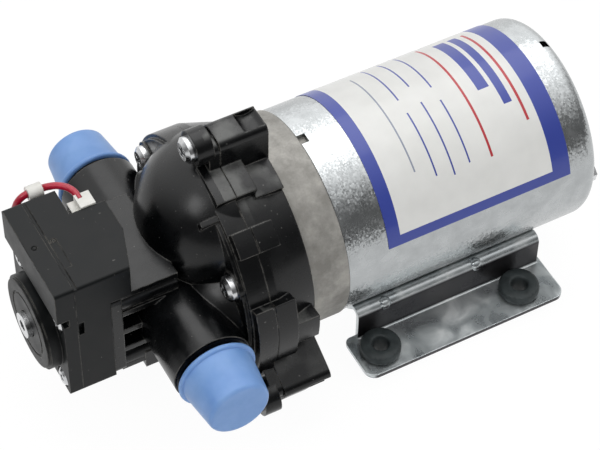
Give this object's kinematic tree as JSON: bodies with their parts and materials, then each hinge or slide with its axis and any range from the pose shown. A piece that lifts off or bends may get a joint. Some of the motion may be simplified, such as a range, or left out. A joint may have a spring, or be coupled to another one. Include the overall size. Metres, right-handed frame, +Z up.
{
  "type": "caravan water pump",
  "caption": "Wobble-plate diaphragm water pump for caravans: round motor on a pressed cradle base, moulded three-dome head with side ports and push-on caps, pressure switch on the end.",
  "frame": {"origin": "centre of the four base holes, on the surface that the grommets stand on", "axes": "+X along the motor axis towards the motor's rear (the pump head is at -X), +Z up, -Y the side with the inlet port"},
  "size_m": [0.2086, 0.1268, 0.1047],
  "materials": {
    "zinc_plated_steel": "bright zinc plating",
    "galvanised_steel": "galvanised spangle",
    "label_vinyl": "printed gloss",
    "cast_alloy": "as cast, matt",
    "bright_steel": "bright plated",
    "ferrite": "matt",
    "shaft_steel": "ground",
    "lamination_steel": "varnished",
    "enamelled_copper": "enamelled",
    "copper": "turned",
    "phenolic_board": "matt",
    "carbon": "matt",
    "spring_steel": "drawn wire",
    "sintered_bronze": "porous",
    "black_rubber": "matt",
    "valve_rubber": "matt",
    "white_plastic": "satin",
    "head_plastic": "moulded, soft gloss",
    "switch_plastic": "moulded, matt",
    "microswitch_plastic": "matt",
    "button_plastic": "satin",
    "cap_polythene": "soft sheen",
    "sleeve_nylon": "translucent white",
    "brass": "rolled",
    "lead_insulation": "soft gloss"
  },
  "bodies": {
    "pump": {"base_bracket": "zinc_plated_steel", "motor_can": "galvanised_steel", "motor_label": "label_vinyl", "front_end_bell": "cast_alloy", "through_bolts": "bright_steel", "housing_screws": "bright_steel", "head_screws": "bright_steel", "switch_screws": "bright_steel", "magnets": "ferrite", "front_bearing_outer": "shaft_steel", "brush_card": "phenolic_board", "brushes": "carbon", "brush_springs": "spring_steel", "check_spring": "spring_steel", "setting_spring": "spring_steel", "rear_bush": "sintered_bronze", "grommet_front_near": "black_rubber", "grommet_front_far": "black_rubber", "grommet_rear_near": "black_rubber", "grommet_rear_far": "black_rubber", "lead_grommet": "black_rubber", "diaphragm": "black_rubber", "outlet_seal": "black_rubber", "switch_diaphragm": "black_rubber", "valve_plate": "white_plastic", "lower_housing": "head_plastic", "upper_housing": "head_plastic", "switch_body": "switch_plastic", "switch_cover": "switch_plastic", "microswitch": "microswitch_plastic", "terminal_sleeve": "sleeve_nylon", "wire_sleeve": "sleeve_nylon", "terminals": "brass", "red_lead": "lead_insulation"},
    "rotor": {"motor_shaft": "shaft_steel", "armature_stack": "lamination_steel", "armature_windings": "enamelled_copper", "commutator": "copper", "front_bearing_inner": "shaft_steel", "front_bearing_balls": "shaft_steel", "drive_cam": "cast_alloy", "drive_bearing_inner": "shaft_steel", "drive_bearing_balls": "shaft_steel"},
    "wobble": {"wobble_plate": "white_plastic", "drive_bearing_outer": "shaft_steel", "piston_top": "white_plastic", "piston_near": "white_plastic", "piston_far": "white_plastic", "piston_screws": "bright_steel"},
    "inlet_top": {"inlet_valve_top": "valve_rubber"},
    "inlet_near": {"inlet_valve_near": "valve_rubber"},
    "inlet_far": {"inlet_valve_far": "valve_rubber"},
    "outlet": {"outlet_valve": "valve_rubber"},
    "check": {"check_valve": "white_plastic"},
    "plunger": {"switch_plunger": "white_plastic"},
    "button": {"microswitch_button": "button_plastic"},
    "seat": {"spring_seat": "bright_steel"},
    "adjuster": {"adjusting_screw": "bright_steel"},
    "cap_near": {"port_cap_near": "cap_polythene"},
    "cap_far": {"port_cap_far": "cap_polythene"}
  },
  "joints": [
    {"name": "motor_spin", "type": "hinge", "parent": "pump", "child": "rotor", "pos_m": [0, 0, 0.0444], "axis": [1, 0, 0], "continuous": true},
    {"name": "wobble_roll", "type": "hinge", "parent": "rotor", "child": "wobble", "pos_m": [-0.07235, 0, 0.0444], "axis": [0.9976, 0, -0.0698], "continuous": true},
    {"name": "inlet_top_lift", "type": "slide", "parent": "pump", "child": "inlet_top", "axis": [1, 0, 0], "range_m": [0, 0.0004], "stiffness_N_per_m": 40},
    {"name": "inlet_near_lift", "type": "slide", "parent": "pump", "child": "inlet_near", "axis": [1, 0, 0], "range_m": [0, 0.0004], "stiffness_N_per_m": 40},
    {"name": "inlet_far_lift", "type": "slide", "parent": "pump", "child": "inlet_far", "axis": [1, 0, 0], "range_m": [0, 0.0004], "stiffness_N_per_m": 40},
    {"name": "outlet_lift", "type": "slide", "parent": "pump", "child": "outlet", "axis": [-1, 0, 0], "range_m": [0, 0.0004], "stiffness_N_per_m": 40},
    {"name": "check_lift", "type": "slide", "parent": "pump", "child": "check", "axis": [-1, 0, 0], "range_m": [0, 0.003], "stiffness_N_per_m": 60, "deforming": ["check_spring"]},
    {"name": "plunger_press", "type": "slide", "parent": "pump", "child": "plunger", "axis": [-1, 0, 0], "range_m": [0, 0.0012], "stiffness_N_per_m": 3000, "deforming": ["setting_spring"]},
    {"name": "button_press", "type": "slide", "parent": "pump", "child": "button", "axis": [-1, 0, 0], "range_m": [0, 0.0012]},
    {"name": "seat_advance", "type": "slide", "parent": "pump", "child": "seat", "axis": [1, 0, 0], "range_m": [-0.0004, 0.0004], "deforming": ["setting_spring"]},
    {"name": "adjust_turn", "type": "hinge", "parent": "seat", "child": "adjuster", "pos_m": [-0.1415, 0, 0.0434], "axis": [1, 0, 0], "range_deg": [-180, 180]},
    {"name": "port_cap_near_pull", "type": "slide", "parent": "pump", "child": "cap_near", "axis": [0, -1, 0], "range_m": [0, 0.06]},
    {"name": "port_cap_far_pull", "type": "slide", "parent": "pump", "child": "cap_far", "axis": [0, 1, 0], "range_m": [0, 0.06]}
  ],
  "couplings": [
    {"joint": "wobble_roll", "follows": "motor_spin", "ratio": -1},
    {"joint": "button_press", "follows": "plunger_press", "ratio": 1},
    {"joint": "adjust_turn", "follows": "seat_advance", "rad_per_m": 7854}
  ]
}
